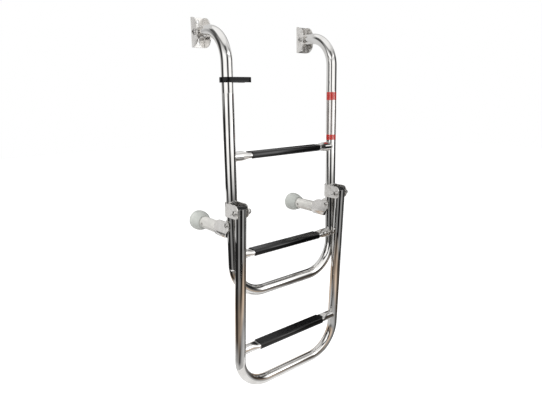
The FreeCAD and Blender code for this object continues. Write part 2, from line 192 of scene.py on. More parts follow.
def makePolishedTube(s):
    material, tree, shader = newMaterial("mirrorPolishedStainless", {"Metallic": 1.0})
    place = addNode(tree, "ShaderNodeTexCoord").outputs["Object"]
    smear = addNode(tree, "ShaderNodeTexNoise",
                    {"Scale": perMetre(s["smearMm"]), "Detail": 3.0}, {"Vector": place})
    lines = addNode(tree, "ShaderNodeTexNoise",
                    {"Scale": perMetre(s["lineMm"]), "Detail": 1.0}, {"Vector": place})
    wave = addNode(tree, "ShaderNodeTexNoise",
                   {"Scale": perMetre(s["waveMm"]), "Detail": 1.0}, {"Vector": place})
    dressSurface(tree, shader, smear, lines, wave, s)
    return material


# Worked metals: lines from grinding or turning, under soft clouds
lineForm = {
    "drift": (0.3, 0.7),
    "grain": (0.3, 0.7),
    "deep": 0.0002,
    "drawnOut": (1.0, 1.0, 0.06),           # the lines run along Z
}
satins = {
    "tumbledStainlessSheet": {              # folded sheet, tumbled: pale, a little blurred
        "colour": "#F4F2EF", "second": "#E6E3DF", "metallic": 0.85,
        "roughness": (0.13, 0.21), "relief": 0.01,
        "lineMm": 3.0, "cloudMm": 12},      # grit lines are 0.1 mm, drawn coarser to show
    "turnedStainless": {                    # screws and nuts: brighter, with soft turning marks
        "colour": "#DEDCD9", "second": "#B9B7B4", "metallic": 1.0,
        "roughness": (0.06, 0.14), "relief": 0.05,
        "lineMm": 1.0, "cloudMm": 4},
    "satinAnodisedAluminium": {             # standoff tubes: a clear satin skin that hardly mirrors
        "colour": "#E2E0DB", "second": "#D3D1CC", "metallic": 0.25,
        "roughness": (0.33, 0.41), "relief": 0.05,
        "lineMm": 2.0, "cloudMm": 16},
}


def makeSatin(name):
    s = lineForm | satins[name]
    material, tree, shader = newMaterial(name, {"Metallic": s["metallic"]})
    place = addNode(tree, "ShaderNodeTexCoord").outputs["Object"]
    drawn = addNode(tree, "ShaderNodeMapping", {"Scale": s["drawnOut"]}, {"Vector": place})
    lines = addNode(tree, "ShaderNodeTexNoise", {"Scale": perMetre(s["lineMm"]), "Detail": 2.0},
                    {"Vector": drawn.outputs["Vector"]})
    cloud = addNode(tree, "ShaderNodeTexNoise",
                    {"Scale": perMetre(s["cloudMm"]), "Detail": 3.0}, {"Vector": place})
    dressSurface(tree, shader, cloud, lines, lines, s)
    return material


# Moulded plastics and rubbers: grain from the mould, gloss from the skin
mouldForm = {
    "drift": (0.35, 0.7),
    "grain": (0.3, 0.7),
    "deep": 0.0002,
    "ior": 1.5,
}
mouldings = {
    "mouldedNylon": {                       # the clip and rail caps: black, glossy
        "colour": "#070708", "second": "#0D0D0E", "gloss": 0.25,
        "roughness": (0.12, 0.22), "relief": 0.01, "grainMm": 1.6, "cloudMm": 19.2},
    "ribbedVinyl": {                        # the tread covers: black, with a wet-looking edge
        "colour": "#070708", "second": "#0E0D0E", "gloss": 0.6,
        "roughness": (0.07, 0.17), "relief": 0.012, "grainMm": 1.6, "cloudMm": 19.2},
    "greyRubber": {                         # the feet: pale, matt
        "colour": "#B9BCB7", "second": "#C8CAC5", "gloss": 0.5,
        "roughness": (0.38, 0.48), "relief": 0.08, "grainMm": 2.2, "cloudMm": 26.4},
    "blackRubber": {                        # the heel pads: matt black
        "colour": "#121214", "second": "#1E1E20", "gloss": 0.4,
        "roughness": (0.56, 0.66), "relief": 0.15, "grainMm": 1.4, "cloudMm": 16.8},
}


def makeMoulding(name):
    s = mouldForm | mouldings[name]
    shine = {"IOR": s["ior"], "Specular IOR Level": s["gloss"]}
    material, tree, shader = newMaterial(name, shine)
    place = addNode(tree, "ShaderNodeTexCoord").outputs["Object"]
    grain = addNode(tree, "ShaderNodeTexNoise",
                    {"Scale": perMetre(s["grainMm"]), "Detail": 3.0}, {"Vector": place})
    cloud = addNode(tree, "ShaderNodeTexNoise",
                    {"Scale": perMetre(s["cloudMm"]), "Detail": 2.0}, {"Vector": place})
    dressSurface(tree, shader, cloud, grain, grain, s)
    return material


finishes = {
    "polished_steel": makePolishedTube(polishedTube),
    "bracket_steel": makeSatin("tumbledStainlessSheet"),
    "fastener_steel": makeSatin("turnedStainless"),
    "standoff_metal": makeSatin("satinAnodisedAluminium"),
    "black_plastic": makeMoulding("mouldedNylon"),
    "tread_plastic": makeMoulding("ribbedVinyl"),
    "foot_rubber": makeMoulding("greyRubber"),
    "pad_rubber": makeMoulding("blackRubber"),
}
for part in frame["record"]["subparts"]:
    mesh = nodes[part["node"]].data
    mesh.materials.clear()
    mesh.materials.append(finishes[part["material_slot"]])
print("materials made:", len(finishes))


# Mesh helpers

def outlineArc(across, up, radius, start, end, steps):
    # points along an arc about a centre in the outline's own plane, between two angles in degrees
    turns = [math.radians(start + (end - start) * i / steps) for i in range(steps + 1)]
    return [(across + radius * math.cos(turn), up + radius * math.sin(turn)) for turn in turns]


def ringAt(bm, centre, side, other, radius, steps, hexed=False):
    # vertices round a centre, or a single one where the radius is 0; hexed makes it six-sided
    if not radius:
        return [bm.verts.new(centre)]
    ring = []
    for k in range(steps):
        a = 2 * math.pi * k / steps
        flat = math.cos(math.pi / 6) / math.cos(a % (math.pi / 3) - math.pi / 6) if hexed else 1.0
        arm = (side * math.cos(a) + other * math.sin(a)) * radius * flat
        ring.append(bm.verts.new(centre + arm))
    return ring


def joinRings(bm, rings):
    # quads between neighbouring rings of the same count; a ring of one vertex is a tip
    for inner, outer in zip(rings, rings[1:]):
        count = max(len(inner), len(outer))
        for k in range(count):
            after = (k + 1) % count
            corners = []
            for ring, place in ((inner, k), (inner, after), (outer, after), (outer, k)):
                vertex = ring[place % len(ring)]
                if vertex not in corners:
                    corners.append(vertex)
            if len(corners) > 2:
                bm.faces.new(corners)


def swept(bm, outline, xFrom, xTo):
    # one outline in Y and Z, drawn out along X and closed at both ends
    first = [bm.verts.new((xFrom, y, z)) for y, z in outline]
    last = [bm.verts.new((xTo, y, z)) for y, z in outline]
    joinRings(bm, [first, last])
    bm.faces.new(first[::-1])
    bm.faces.new(last)


def turned(bm, profile, start, direction, steps, side=None):
    # a profile of (distance along the axis, radius) turned round it; "hex" makes a ring six-sided
    axis = Vector(direction).normalized()
    side = Vector(side) if side else axis.orthogonal().normalized()
    rings = []
    for along, radius, *hexed in profile:
        centre = Vector(start) + axis * along
        rings.append(ringAt(bm, centre, side, axis.cross(side), radius, steps, bool(hexed)))
    joinRings(bm, rings)


def addPiece(name, bm, finish, body):
    for face in bm.faces:
        face.smooth = True
    mesh = bpy.data.meshes.new(name)
    bm.to_mesh(mesh)
    bm.free()
    mesh.materials.append(finishes[finish])
    piece = addObject(name, mesh)
    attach(piece, body)
    return piece


def finishPiece(name, bm, slotName, body, replaced=None, sharpFrom=34):
    # smooth, but for edges that turn by this many degrees or more
    bmesh.ops.recalc_face_normals(bm, faces=bm.faces)
    for edge in bm.edges:
        turnsLittle = edge.calc_face_angle(0) < math.radians(sharpFrom)
        edge.smooth = len(edge.link_faces) != 2 or turnsLittle
    piece = addPiece(name, bm, slotName, body)
    if replaced:
        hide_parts(replaced)


def middleOf(node):
    low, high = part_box(node)
    return (low + high) / 2


def lowEndOf(node, axis):
    # the middle of the box's low face along this axis, 0 for X and 1 for Y
    place = middleOf(node)
    place[axis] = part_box(node)[0][axis]
    return place


# Where the frames stand; the lower one leans back from its hinge
hinge = middleOf("left_hinge_bolt")
thirdTread = middleOf("tread_3_tube")
hingeAt = Vector((0, hinge.y, hinge.z))
lowerLean = math.atan2(thirdTread.y - hinge.y, hinge.z - thirdTread.z)
legUp = Vector((0, -math.sin(lowerLean), math.cos(lowerLean)))
stringerY = middleOf("tread_1_tube").y
stringerXs = {"left": 0.0, "right": 0.306}


# Rails: two bent tubes with long smooth bends

railShape = {
    "radius": 0.0125,
    "topBend": 0.070,
    "upperBow": 0.080,
    "lowerBow": 0.080,
    "wallEnd": -0.0135,                     # where the upper rail stops, just past its bolt
    "upperLow": -0.5905,
    "legTop": 0.0100,                       # along the leg from the hinge bolt
    "legReach": -0.4430,
    "around": 72,
    "bendSteps": 36,
    "lead": 0.002,                          # short straight before and after a bend
    "edge": 0.0005,
}


def bentLine(corners, bends, s):
    # places along a tube's middle with its direction there; each bend is a quarter turn
    line = [(corners[0], (corners[1] - corners[0]).normalized())]
    for before, corner, after, bend in zip(corners, corners[1:], corners[2:], bends):
        into = (corner - before).normalized()
        out = (after - corner).normalized()
        middle = corner + (out - into) * bend
        line.append((corner - into * (bend + s["lead"]), into))
        for i in range(s["bendSteps"] + 1):
            turn = math.pi / 2 * i / s["bendSteps"]
            arm = -out * math.cos(turn) + into * math.sin(turn)
            line.append((middle + arm * bend, into * math.cos(turn) + out * math.sin(turn)))
        line.append((corner + out * (bend + s["lead"]), out))
    line.append((corners[-1], (corners[-1] - corners[-2]).normalized()))
    return line


def makePipe(name, body, replaced, line, s):
    # a closed tube along the line, with a small broken edge at each end
    radius, edge = s["radius"], s["edge"]
    firstEnd = [(0.0, 0.0), (0.0, radius - edge), (edge, radius)]
    lastEnd = [(-edge, radius), (0.0, radius - edge), (0.0, 0.0)]
    sections = [firstEnd] + [[(0.0, radius)]] * (len(line) - 2) + [lastEnd]
    bm = bmesh.new()
    side = line[0][1].orthogonal().normalized()
    before = line[0][1]
    rings = []
    for (place, along), section in zip(line, sections):
        side = before.rotation_difference(along) @ side
        before = along
        for shift, wide in section:
            centre = place + along * shift
            rings.append(ringAt(bm, centre, side, along.cross(side), wide, s["around"]))
    joinRings(bm, rings)
    finishPiece(name, bm, "polished_steel", body, replaced)


def makeRails(s):
    right = stringerXs["right"]
    corners = [(0, s["wallEnd"], 0), (0, stringerY, 0), (0, stringerY, s["upperLow"])]
    corners += [(right, stringerY, s["upperLow"]), (right, stringerY, 0), (right, s["wallEnd"], 0)]
    bends = [s["topBend"], s["upperBow"], s["upperBow"], s["topBend"]]
    line = bentLine([Vector(c) for c in corners], bends, s)
    makePipe("upper_pipe", "upper_frame", "upper_rail", line, s)
    across = Vector((right, 0, 0))
    corners = [hingeAt + legUp * s["legTop"], hingeAt + legUp * s["legReach"]]
    corners += [corners[1] + across, corners[0] + across]
    line = bentLine(corners, [s["lowerBow"]] * 2, s)
    makePipe("lower_pipe", "lower_frame", "lower_rail", line, s)


makeRails(railShape)
print("rails made")


# Tread tubes: round where they meet the stringers, pressed flat under the cover

treadShape = {
    "radius": 0.0110,
    "flatHalf": 0.0060,
    "roundEnd": 0.027,
    "flatStart": 0.047,
    "cope": 0.0122,                         # the end follows the stringer just inside its skin
    "pastCope": 0.004,
    "around": 64,
    "neckSteps": 14,
}
treadBodies = {1: "upper_frame", 2: "upper_frame", 3: "lower_frame"}


def treadPlace(number, x=0.0):
    # from a tread's own axis to where it is; the third leans with its frame
    middle = middleOf(f"tread_{number}_tube")
    tilt = lowerLean if number == 3 else 0.0
    return Matrix.Translation((x, middle.y, middle.z)) @ Matrix.Rotation(tilt, 4, "X")


def treadRing(flatness, s):
    # a stadium with the same girth at every flatness, its points evenly spaced
    halfHigh = s["radius"] + (s["flatHalf"] - s["radius"]) * flatness
    halfFlat = math.pi * (s["radius"] - halfHigh) / 2
    quarter = halfFlat + math.pi * halfHigh / 2
    ring = []
    for k in range(s["around"]):
        along = 4 * quarter * k / s["around"]
        part = int(along // quarter) % 4
        past = along - part * quarter
        if part in (1, 3):
            past = quarter - past
        if past < halfFlat:
            y, z = past, halfHigh
        else:
            a = (past - halfFlat) / halfHigh
            y, z = halfFlat + halfHigh * math.sin(a), halfHigh * math.cos(a)
        ring.append((y if part in (0, 1) else -y, z if part in (0, 3) else -z))
    return ring


def makeTreadTube(number, s):
    # coped end, round end, neck and pressed middle, then the same mirrored
    cope = s["cope"]
    rings = [[(cope, 0.0, 0.0)]]            # closes the end, hidden in the stringer
    rings.append([(math.sqrt(cope ** 2 - y ** 2), y, z) for y, z in treadRing(0.0, s)])
    stations = [(cope + s["pastCope"], 0.0), (s["roundEnd"], 0.0)]
    for i in range(1, s["neckSteps"] + 1):
        t = i / s["neckSteps"]
        x = s["roundEnd"] + (s["flatStart"] - s["roundEnd"]) * t
        stations.append((x, t * t * (3 - 2 * t)))
    rings += [[(x, y, z) for y, z in treadRing(flatness, s)] for x, flatness in stations]
    rings += [[(stringerXs["right"] - x, y, z) for x, y, z in ring] for ring in reversed(rings)]
    bm = bmesh.new()
    joinRings(bm, [[bm.verts.new(place) for place in ring] for ring in rings])
    bm.transform(treadPlace(number))
    finishPiece(f"tread_{number}_pipe", bm, "polished_steel", treadBodies[number],
                f"tread_{number}_tube")


# Tread covers: a ribbed vinyl strip snapped round the flattened tube, with a gap below

coverShape = {
    "inset": 0.0515,                        # from the stringer's axis to the cover's end
    "halfWidth": 0.01525,
    "rise": 0.0074,                         # top of the plain skin above the tube's axis
    "edge": 0.0050,
    "edgeSteps": 8,
    "gapHalf": 0.0085,
    "tubeHalfHeight": 0.0060,
    "tubeHalfFlat": 0.007854,
    "clear": 0.00008,
    "boreSteps": 16,
    "ribs": 7,
    "ribWide": 0.0016,
    "ribHigh": 0.00014,
    "ribForm": ((-1, 0), (-0.86, 0.7), (-0.6, 1), (0.6, 1), (0.86, 0.7), (1, 0)),
    "endEdge": 0.00025,
    "endSegments": 2,
    "sharpFrom": 26,
}


def coverOutline(s):
    half, rise, edge, steps = s["halfWidth"], s["rise"], s["edge"], s["edgeSteps"]
    outside = [(-s["gapHalf"], -rise)]
    outside += outlineArc(-half + edge, -rise + edge, edge, 270, 180, steps)
    outside += outlineArc(-half + edge, rise - edge, edge, 180, 90, steps)
    flat = 2 * (half - edge)
    for i in range(s["ribs"]):
        y = flat / s["ribs"] * (i - (s["ribs"] - 1) / 2)
        for across, up in s["ribForm"]:
            outside.append((y + s["ribWide"] / 2 * across, rise + s["ribHigh"] * up))
    outside += outlineArc(half - edge, rise - edge, edge, 90, 0, steps)
    outside += outlineArc(half - edge, -rise + edge, edge, 0, -90, steps)
    outside.append((s["gapHalf"], -rise))
    inner = s["tubeHalfHeight"] + s["clear"]
    past = math.degrees(math.asin((s["gapHalf"] - s["tubeHalfFlat"]) / inner))
    inside = outlineArc(s["tubeHalfFlat"], 0, inner, -90 + past, 90, s["boreSteps"])
    inside += outlineArc(-s["tubeHalfFlat"], 0, inner, 90, 270 - past, s["boreSteps"])
    return outside + inside


def makeCover(number, s):
    bm = bmesh.new()
    swept(bm, coverOutline(s), s["inset"], stringerXs["right"] - s["inset"])
    ends = [edge for edge in bm.edges if edge.verts[0].co.x == edge.verts[1].co.x]
    bmesh.ops.bevel(bm, geom=ends, offset=s["endEdge"], segments=s["endSegments"],
                    affect="EDGES", profile=0.5)
    bm.transform(treadPlace(number))
    finishPiece(f"tread_{number}_strip", bm, "tread_plastic", treadBodies[number],
                f"tread_{number}_cover", s["sharpFrom"])


for number in treadBodies:
    makeTreadTube(number, treadShape)
    makeCover(number, coverShape)
print("treads made")


# Weld beads where the treads meet the stringers

weldShape = {
    "stringer": 0.0125,
    "tread": 0.0110,
    "bead": 0.0012,
    "around": 8,
    "ripples": 26,                          # a bead of overlapping puddles
    "rippleSteps": 5,
    "rippleDeep": 0.16,
    "sharpFrom": 60,
}


def makeWeld(number, side, s):
    # a ring laid in the corner between the tread's end and the stringer
    bm = bmesh.new()
    alongX = Vector((1, 0, 0))
    count = s["ripples"] * s["rippleSteps"]
    rings = []
    for i in range(count):
        a = 2 * math.pi * i / count
        y, z = s["tread"] * math.cos(a), s["tread"] * math.sin(a)
        centre = Vector((math.sqrt(s["stringer"] ** 2 - y ** 2), y, z))
        outwards = Vector((0, math.cos(a), math.sin(a)))
        swell = s["bead"] * (1 - s["rippleDeep"] * abs(math.sin(a * s["ripples"] / 2)))
        rings.append(ringAt(bm, centre, outwards, alongX, swell, s["around"]))
    joinRings(bm, rings + rings[:1])
    inwards = Matrix.Scale(1 if side == "left" else -1, 4, alongX)
    bm.transform(treadPlace(number, stringerXs[side]) @ inwards)
    finishPiece(f"tread_{number}_weld_{side}", bm, "fastener_steel", treadBodies[number],
                sharpFrom=s["sharpFrom"])


for number in treadBodies:
    for side in sides:
        makeWeld(number, side, weldShape)
print("welds made")


# Sheet parts keep their CAD shape and get the small round that deburring leaves on every edge

sheetEdges = {
    "joinWithin": 0.00001,
    "segments": 2,
    "sharpFrom": 32,
    "widths": {
        "wall_bracket": 0.0006,
        "hinge_bracket": 0.0006,
        "standoff_fork": 0.0006,
        "wall_washer_near_head": 0.0003,
        "wall_washer_near_nut": 0.0003,
        "standoff_pad": 0.0008,
    },
}


def softenEdges(node, width, s):
    joined = node.modifiers.new("joined", "WELD")
    joined.merge_threshold = s["joinWithin"]
    edge = node.modifiers.new("deburredEdge", "BEVEL")
    edge.width = width
    edge.segments = s["segments"]
    edge.limit_method = "ANGLE"
    edge.angle_limit = math.radians(s["sharpFrom"])
    edge.harden_normals = True


for side in sides:
    for piece, width in sheetEdges["widths"].items():
        softenEdges(nodes[side + "_" + piece], width, sheetEdges)
print("sheet edges rounded")


# Bolts with a domed socket head, and domed nuts

boltSizes = {                               # heights of head and nut hexagon, radii of the rest
    "wall": {"head": 0.0040, "socket": 0.0029, "shank": 0.0040, "hex": 0.0060,
             "body": "wall_brackets"},
    "hinge": {"head": 0.0040, "socket": 0.0029, "shank": 0.0040, "hex": 0.0060,
              "body": "upper_frame"},
    "standoff": {"head": 0.0032, "socket": 0.0023, "shank": 0.0030, "hex": 0.0050,
                 "body": "upper_frame"},
}
headForm = {
    "socketDeep": 0.62,                     # share of the head's height
    "socketEdge": 0.0003,
    "rimAt": 0.0001,
    "rimWide": 1.16,                        # times the socket's corner
    "domeRise": 0.94,                       # share of the head's height
    "domeSteps": 8,
    "seatEdge": 0.0002,
    "around": 48,
}
nutForm = {
    "seat": 0.97,                           # times the distance across half the hexagon
    "chamfer": 0.0007,
    "shoulder": 0.98,
    "crownIn": 0.0003,
    "crownSteps": 10,
    "around": 48,
}


def makeBolt(side, kind, sizes, s):
    node = f"{side}_{kind}_bolt"
    low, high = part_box(node)
    radius, length = (high.y - low.y) / 2, high.x - low.x
    head, socket, shank = sizes["head"], sizes["socket"], sizes["shank"]
    floor = head * s["socketDeep"]
    rim = socket * s["rimWide"]
    profile = [(floor, 0.0), (floor, socket, "hex"), (s["socketEdge"], socket, "hex")]
    profile.append((s["rimAt"], rim))
    for i in range(1, s["domeSteps"] + 1):
        a = math.pi / 2 * i / s["domeSteps"]
        down = head * (1 - math.cos(a)) * s["domeRise"] + s["rimAt"]
        profile.append((down, rim + (radius - rim) * math.sin(a)))
    profile += [(head, radius - s["seatEdge"]), (head, shank), (length, shank), (length, 0.0)]
    bm = bmesh.new()
    turned(bm, profile, lowEndOf(node, 0), (1, 0, 0), s["around"], (0, 1, 0))
    finishPiece(f"{side}_{kind}_socket_bolt", bm, "fastener_steel", sizes["body"], node)


def makeNut(side, kind, sizes, s):
    node = f"{side}_{kind}_nut"
    low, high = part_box(node)
    corner, tall = (high.y - low.y) / 2, high.x - low.x
    flat = corner * math.cos(math.pi / 6)
    crown = flat - s["crownIn"]
    hexHigh, shank = sizes["hex"], sizes["shank"]
    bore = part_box(f"{side}_{kind}_bolt")[1].x - low.x
    profile = [(bore, 0.0), (bore, shank), (0.0, shank), (0.0, flat * s["seat"])]
    profile += [(s["chamfer"], corner, "hex"), (hexHigh - s["chamfer"], corner, "hex")]
    profile += [(hexHigh, flat * s["shoulder"]), (hexHigh, crown)]
    for i in range(1, s["crownSteps"]):
        a = math.pi / 2 * i / s["crownSteps"]
        profile.append((hexHigh + (tall - hexHigh) * math.sin(a), crown * math.cos(a)))
    profile.append((tall, 0.0))
    bm = bmesh.new()
    turned(bm, profile, lowEndOf(node, 0), (1, 0, 0), s["around"], (0, 1, 0))
    finishPiece(f"{side}_{kind}_domed_nut", bm, "fastener_steel", sizes["body"], node)


# A recessed button on each standoff tube's outer side, as distance inwards, then radius

footButton = {
    "profile": [(0.0022, 0.0), (0.0022, 0.0015), (0.0003, 0.0020), (0.0, 0.0023),
                (0.0001, 0.0027), (0.0004, 0.0030)],
    "around": 32,
}


def makeFootButton(side, s):
    node = side + "_foot_screw"
    low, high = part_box(node)
    length, radius = high.x - low.x, s["profile"][-1][1]
    bm = bmesh.new()
    profile = s["profile"] + [(length, radius), (length, 0.0)]
    turned(bm, profile, lowEndOf(node, 0), (1, 0, 0), s["around"])
    finishPiece(side + "_foot_button", bm, "fastener_steel", side + "_standoff", node)


for side in sides:
    for kind, sizes in boltSizes.items():
        makeBolt(side, kind, sizes, headForm)
        makeNut(side, kind, sizes, nutForm)
    makeFootButton(side, footButton)
print("bolts and nuts made")


# Caps on the lower rail's legs: a rim, a shallow groove and a dome with the gate's dimple

capShape = {                                # distance above the leg's end, then radius
    "profile": [(-0.0040, 0.0), (-0.0040, 0.0109), (0.0, 0.0109), (0.0, 0.0123),
                (0.0002, 0.0125), (0.0010, 0.0125), (0.0014, 0.0122), (0.0015, 0.0115),
                (0.0020, 0.0110), (0.0028, 0.0098), (0.0036, 0.0080), (0.0042, 0.0060),
                (0.0046, 0.0038), (0.0047, 0.0024), (0.0044, 0.0020), (0.0042, 0.0)],
    "around": 64,
    "sharpFrom": 40,
}


def makeCap(side, s):
    bm = bmesh.new()
    start = hingeAt + legUp * railShape["legTop"] + Vector((stringerXs[side], 0, 0))
    turned(bm, s["profile"], start, legUp, s["around"])
    finishPiece(side + "_domed_cap", bm, "black_plastic", "lower_frame", side + "_rail_cap",
                s["sharpFrom"])


# Feet: rubber bells pushed over the standoff tubes

footShape = {                               # distance along the standoff, then radius
    "bore": 0.0144,
    "profile": [(0.0, 0.0144), (0.0, 0.0168), (0.0006, 0.0175), (0.0040, 0.0187),
                (0.0090, 0.0208), (0.0140, 0.0226), (0.0190, 0.0237), (0.0240, 0.0242),
                (0.0300, 0.0241), (0.0340, 0.0234), (0.0365, 0.0218), (0.0378, 0.0195),
                (0.0380, 0.0180), (0.0380, 0.0)],
    "around": 64,
    "sharpFrom": 60,
}


def makeFoot(side, s):
    start = lowEndOf(side + "_foot", 1)
    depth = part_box(side + "_standoff_tube")[1].y - start.y
    bm = bmesh.new()
    profile = [(depth, 0.0), (depth, s["bore"])] + s["profile"]
    turned(bm, profile, start, (0, 1, 0), s["around"])
    finishPiece(side + "_dome_foot", bm, "foot_rubber", side + "_standoff", side + "_foot",
                s["sharpFrom"])


for side in sides:
    makeCap(side, capShape)
    makeFoot(side, footShape)
print("caps and feet made")


# Clip on the left stringer: a smooth bar with a ring at one end and an open jaw at the other

clipShape = {
    "reach": 0.0415,
    "ringOut": 0.01650,
    "ringIn": 0.01256,
    "jawOut": 0.01675,
    "jawIn": 0.01310,
    "mouthHalf": 0.0100,
    "edge": 0.0009,
    "edgeSteps": 3,
    "jawSteps": 10,
    "ringSteps": 40,
    "lipSteps": 8,
    "holeSteps": 48,
    "sharpFrom": 40,
}


def clipLoops(s, inset):
    # the clip's outline and the ring's hole in X and Y, drawn in by the inset; round jaw lips
    reach = s["reach"]
    middle = (s["jawOut"] + s["jawIn"]) / 2
    half = (s["jawOut"] - s["jawIn"]) / 2
    turn = math.asin((s["mouthHalf"] + half) / middle)
    lipX, lipY = reach + middle * math.cos(turn), middle * math.sin(turn)
    lip = math.degrees(turn)
    outline = outlineArc(reach, 0, s["jawOut"] - inset, lip, 90, s["jawSteps"])
    outline += outlineArc(0, 0, s["ringOut"] - inset, 90, 270, s["ringSteps"])
    outline += outlineArc(reach, 0, s["jawOut"] - inset, -90, -lip, s["jawSteps"])
    outline += outlineArc(lipX, -lipY, half - inset, -lip, 180 - lip, s["lipSteps"])[1:-1]
    outline += outlineArc(reach, 0, s["jawIn"] + inset, 360 - lip, lip, s["ringSteps"])
    outline += outlineArc(lipX, lipY, half - inset, lip - 180, lip, s["lipSteps"])[1:-1]
    return outline, outlineArc(0, 0, s["ringIn"] + inset, 0, 360, s["holeSteps"])[:-1]


def makeClip(s):
    # both loops stacked by height, rounded top and bottom, then closed at both ends
    low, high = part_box("hold_clip")
    levels = []
    for i in range(s["edgeSteps"] + 1):
        a = math.pi / 2 * (1 - i / s["edgeSteps"])
        levels.append((s["edge"] * (1 - math.sin(a)), s["edge"] * (1 - math.cos(a))))
    heights = [(low.z + up, inset) for up, inset in levels]
    heights += [(high.z - up, inset) for up, inset in reversed(levels)]
    bm = bmesh.new()
    stacks = ([], [])
    for z, inset in heights:
        for stack, loop in zip(stacks, clipLoops(s, inset)):
            stack.append([bm.verts.new((x, stringerY + y, z)) for x, y in loop])
    for stack in stacks:
        joinRings(bm, stack)
    for end in (0, -1):
        rim = []
        for stack in stacks:
            ring = stack[end]
            rim += [bm.edges.get((ring[k - 1], ring[k])) for k in range(len(ring))]
        bmesh.ops.triangle_fill(bm, use_beauty=True, use_dissolve=False, edges=rim)
    finishPiece("clip_bar", bm, "black_plastic", "clip", "hold_clip", s["sharpFrom"])


makeClip(clipShape)
print("clip made")


# Sticker on the right stringer: two red bands and the film between them, which show the steel

stickerShape = {
    "radius": 0.01257,
    "upperBand": (-0.1510, -0.1320),
    "lowerBand": (-0.2490, -0.2360),
    "turn": (-200, 60),                     # degrees round the tube that it covers, 0 is +X
    "steps": 52,
}
stickerInks = {                             # printed vinyl and clear film: thin, smooth, glossy
    "red_ink": {"name": "redVinylPrint", "colour": "#D42A1F", "alpha": 0.64},
    "film": {"name": "clearFilm", "colour": "#F6E9E4", "alpha": 0.12},
}
inkForm = {"patchMm": 24, "drift": (0.4, 0.7), "worn": 0.9, "roughness": 0.2, "ior": 1.46}


def makeStickerInk(ink):
    s = inkForm | stickerInks[ink]
    material, tree, shader = newMaterial(s["name"], {
        "Roughness": s["roughness"], "IOR": s["ior"], "Alpha": s["alpha"]})
    place = addNode(tree, "ShaderNodeTexCoord").outputs["Object"]
    patch = addNode(tree, "ShaderNodeTexNoise",
                    {"Scale": perMetre(s["patchMm"]), "Detail": 2.0}, {"Vector": place})
    fresh = linear(s["colour"])
    worn = [c * s["worn"] for c in fresh[:3]] + [1.0]
    driftColour(tree, shader, patch, s["drift"], (fresh, worn))
    return material


for ink in stickerInks:
    finishes[ink] = makeStickerInk(ink)


def makeStickerPatch(name, ink, low, high, s):
    bm = bmesh.new()
    arc = outlineArc(stringerXs["right"], stringerY, s["radius"], *s["turn"], s["steps"])
    rows = [[bm.verts.new((x, y, z)) for x, y in arc] for z in (low, high)]
    for i in range(s["steps"]):
        bm.faces.new((rows[0][i], rows[0][i + 1], rows[1][i + 1], rows[1][i]))
    addPiece(name, bm, ink, "upper_frame")


upperBand, lowerBand = stickerShape["upperBand"], stickerShape["lowerBand"]
makeStickerPatch("sticker_band_upper", "red_ink", *upperBand, stickerShape)
makeStickerPatch("sticker_band_lower", "red_ink", *lowerBand, stickerShape)
makeStickerPatch("sticker_film", "film", lowerBand[1], upperBand[0], stickerShape)
print("sticker made")


# Studio: a white sweep, soft lamps, and painted sleeves round the ladder that only its gloss sees

studio = {
    "middle": (0.153, -0.12, -0.4),
    "floorHeight": -1.25,
    "floorHalf": 9.0,
    "paper": 0.45,                          # how much of the lamps' light the floor gives back
    "paperRoughness": 0.9,
    "floorGloss": 0.5,
    "ambient": 0.3,
    "columnDegrees": 2,
}


def makeWorld(s):
    # white to the camera, to gloss and through film, and dimmer where it lights the ladder
    world = bpy.data.worlds.new("studio")
    world.use_nodes = True
    tree = world.node_tree
    tree.nodes.clear()
    path = addNode(tree, "ShaderNodeLightPath")
    seen = path.outputs["Is Camera Ray"]
    for kind in ("Is Glossy Ray", "Is Transmission Ray"):
        either = addNode(tree, "ShaderNodeMath", {"operation": "MAXIMUM"})
        tree.links.new(seen, either.inputs[0])
        tree.links.new(path.outputs[kind], either.inputs[1])
        seen = either.outputs[0]
    dim = addNode(tree, "ShaderNodeBackground", {"Color": grey(1.0), "Strength": s["ambient"]})
    white = addNode(tree, "ShaderNodeBackground", {"Color": grey(1.0), "Strength": 1.0})
    mixed = addNode(tree, "ShaderNodeMixShader", links={"Fac": seen})
    tree.links.new(dim.outputs[0], mixed.inputs[1])
    tree.links.new(white.outputs[0], mixed.inputs[2])
    addNode(tree, "ShaderNodeOutputWorld", links={"Surface": mixed.outputs[0]})
    bpy.context.scene.world = world


def makeFloor(s):
    # white to the camera, half as bright to gloss
    half, z = s["floorHalf"], s["floorHeight"]
    mesh = bpy.data.meshes.new("floor")
    corners = [(-half, -half, z), (half, -half, z), (half, half, z), (-half, half, z)]
    mesh.from_pydata(corners, [], [(0, 1, 2, 3)])
    material, tree, shader = newMaterial("whitePaperSweep", {
        "Base Color": grey(s["paper"]), "Roughness": s["paperRoughness"],
        "Emission Color": grey(1.0)})
    path = addNode(tree, "ShaderNodeLightPath")
    gloss = addNode(tree, "ShaderNodeMath", {"operation": "MULTIPLY"})
    tree.links.new(path.outputs["Is Glossy Ray"], gloss.inputs[0])
    gloss.inputs[1].default_value = s["floorGloss"]
    glow = addNode(tree, "ShaderNodeMath", {"operation": "MAXIMUM"})
    tree.links.new(path.outputs["Is Camera Ray"], glow.inputs[0])
    tree.links.new(gloss.outputs[0], glow.inputs[1])
    tree.links.new(glow.outputs[0], shader.inputs["Emission Strength"])
    mesh.materials.append(material)
    addObject("floor", mesh)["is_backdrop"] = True


# What the sleeves are painted with: brightness at degrees round from the camera
underBow = [
    (-180, 0.68), (-60, 0.64), (-40, 0.5), (0, 0.5), (60, 0.6), (84, 0.6), (92, 0.22),
    (140, 0.26), (155, 0.6), (180, 0.68)]
nearFloor = [
    (-180, 0.62), (-120, 0.6), (-60, 0.52), (-45, 0.4), (-36, 0.06), (-12, 0.08), (4, 0.3),
    (34, 0.38), (56, 0.32), (72, 0.38), (84, 0.12), (150, 0.12), (165, 0.4), (180, 0.62)]
